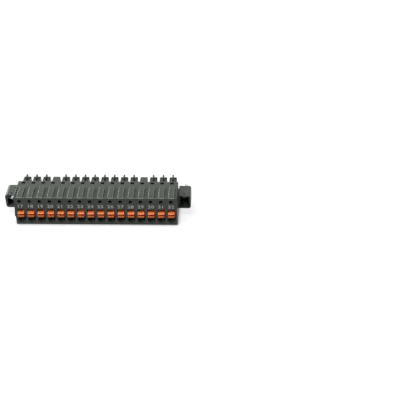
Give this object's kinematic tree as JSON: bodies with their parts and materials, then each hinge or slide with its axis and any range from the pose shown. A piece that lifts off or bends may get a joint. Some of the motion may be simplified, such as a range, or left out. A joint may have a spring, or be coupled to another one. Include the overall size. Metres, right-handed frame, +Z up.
{
  "type": "pluggable terminal block",
  "caption": "Long narrow plug-in terminal block with push-in wire entries, a release button over each, mating fingers behind and a captive screw in a flange at each end.",
  "frame": {"origin": "middle of the block on the plane of its underside, midway between the flanges' outer sides and between the buttons' fronts and the fingers' ends", "axes": "+X along the row to the right as seen from the wire side, +Y from the wire side to the mating side, +Z up"},
  "size_m": [0.0656, 0.0172, 0.0117],
  "materials": {
    "housing_plastic": "moulded dark grey polyamide, finely matte",
    "button_plastic": "moulded orange plastic, smooth satin",
    "screw_steel": "bright zinc-plated steel",
    "spring_steel": "plain rolled spring steel",
    "contact_metal": "tin-plated copper alloy strip, dull"
  },
  "bodies": {
    "block": {"housing": "housing_plastic", "flange_left": "housing_plastic", "flange_right": "housing_plastic", "spring_17": "spring_steel", "spring_18": "spring_steel", "spring_19": "spring_steel", "spring_20": "spring_steel", "spring_21": "spring_steel", "spring_22": "spring_steel", "spring_23": "spring_steel", "spring_24": "spring_steel", "spring_25": "spring_steel", "spring_26": "spring_steel", "spring_27": "spring_steel", "spring_28": "spring_steel", "spring_29": "spring_steel", "spring_30": "spring_steel", "spring_31": "spring_steel", "spring_32": "spring_steel", "contact_17": "contact_metal", "contact_18": "contact_metal", "contact_19": "contact_metal", "contact_20": "contact_metal", "contact_21": "contact_metal", "contact_22": "contact_metal", "contact_23": "contact_metal", "contact_24": "contact_metal", "contact_25": "contact_metal", "contact_26": "contact_metal", "contact_27": "contact_metal", "contact_28": "contact_metal", "contact_29": "contact_metal", "contact_30": "contact_metal", "contact_31": "contact_metal", "contact_32": "contact_metal"},
    "screw_left": {"screw_left": "screw_steel"},
    "screw_right": {"screw_right": "screw_steel"},
    "button_17": {"button_17": "button_plastic"},
    "button_18": {"button_18": "button_plastic"},
    "button_19": {"button_19": "button_plastic"},
    "button_20": {"button_20": "button_plastic"},
    "button_21": {"button_21": "button_plastic"},
    "button_22": {"button_22": "button_plastic"},
    "button_23": {"button_23": "button_plastic"},
    "button_24": {"button_24": "button_plastic"},
    "button_25": {"button_25": "button_plastic"},
    "button_26": {"button_26": "button_plastic"},
    "button_27": {"button_27": "button_plastic"},
    "button_28": {"button_28": "button_plastic"},
    "button_29": {"button_29": "button_plastic"},
    "button_30": {"button_30": "button_plastic"},
    "button_31": {"button_31": "button_plastic"},
    "button_32": {"button_32": "button_plastic"}
  },
  "joints": [
    {"name": "press_17", "type": "slide", "parent": "block", "child": "button_17", "axis": [0, 1, 0], "range_m": [0, 0.0012], "stiffness_N_per_m": 5000, "deforming": ["spring_17"]},
    {"name": "press_18", "type": "slide", "parent": "block", "child": "button_18", "axis": [0, 1, 0], "range_m": [0, 0.0012], "stiffness_N_per_m": 5000, "deforming": ["spring_18"]},
    {"name": "press_19", "type": "slide", "parent": "block", "child": "button_19", "axis": [0, 1, 0], "range_m": [0, 0.0012], "stiffness_N_per_m": 5000, "deforming": ["spring_19"]},
    {"name": "press_20", "type": "slide", "parent": "block", "child": "button_20", "axis": [0, 1, 0], "range_m": [0, 0.0012], "stiffness_N_per_m": 5000, "deforming": ["spring_20"]},
    {"name": "press_21", "type": "slide", "parent": "block", "child": "button_21", "axis": [0, 1, 0], "range_m": [0, 0.0012], "stiffness_N_per_m": 5000, "deforming": ["spring_21"]},
    {"name": "press_22", "type": "slide", "parent": "block", "child": "button_22", "axis": [0, 1, 0], "range_m": [0, 0.0012], "stiffness_N_per_m": 5000, "deforming": ["spring_22"]},
    {"name": "press_23", "type": "slide", "parent": "block", "child": "button_23", "axis": [0, 1, 0], "range_m": [0, 0.0012], "stiffness_N_per_m": 5000, "deforming": ["spring_23"]},
    {"name": "press_24", "type": "slide", "parent": "block", "child": "button_24", "axis": [0, 1, 0], "range_m": [0, 0.0012], "stiffness_N_per_m": 5000, "deforming": ["spring_24"]},
    {"name": "press_25", "type": "slide", "parent": "block", "child": "button_25", "axis": [0, 1, 0], "range_m": [0, 0.0012], "stiffness_N_per_m": 5000, "deforming": ["spring_25"]},
    {"name": "press_26", "type": "slide", "parent": "block", "child": "button_26", "axis": [0, 1, 0], "range_m": [0, 0.0012], "stiffness_N_per_m": 5000, "deforming": ["spring_26"]},
    {"name": "press_27", "type": "slide", "parent": "block", "child": "button_27", "axis": [0, 1, 0], "range_m": [0, 0.0012], "stiffness_N_per_m": 5000, "deforming": ["spring_27"]},
    {"name": "press_28", "type": "slide", "parent": "block", "child": "button_28", "axis": [0, 1, 0], "range_m": [0, 0.0012], "stiffness_N_per_m": 5000, "deforming": ["spring_28"]},
    {"name": "press_29", "type": "slide", "parent": "block", "child": "button_29", "axis": [0, 1, 0], "range_m": [0, 0.0012], "stiffness_N_per_m": 5000, "deforming": ["spring_29"]},
    {"name": "press_30", "type": "slide", "parent": "block", "child": "button_30", "axis": [0, 1, 0], "range_m": [0, 0.0012], "stiffness_N_per_m": 5000, "deforming": ["spring_30"]},
    {"name": "press_31", "type": "slide", "parent": "block", "child": "button_31", "axis": [0, 1, 0], "range_m": [0, 0.0012], "stiffness_N_per_m": 5000, "deforming": ["spring_31"]},
    {"name": "press_32", "type": "slide", "parent": "block", "child": "button_32", "axis": [0, 1, 0], "range_m": [0, 0.0012], "stiffness_N_per_m": 5000, "deforming": ["spring_32"]},
    {"name": "turn_screw_left", "type": "hinge", "parent": "block", "child": "screw_left", "pos_m": [-0.03055, 0, 0.00575], "axis": [0, 1, 0], "continuous": true},
    {"name": "turn_screw_right", "type": "hinge", "parent": "block", "child": "screw_right", "pos_m": [0.03055, 0, 0.00575], "axis": [0, 1, 0], "continuous": true}
  ]
}
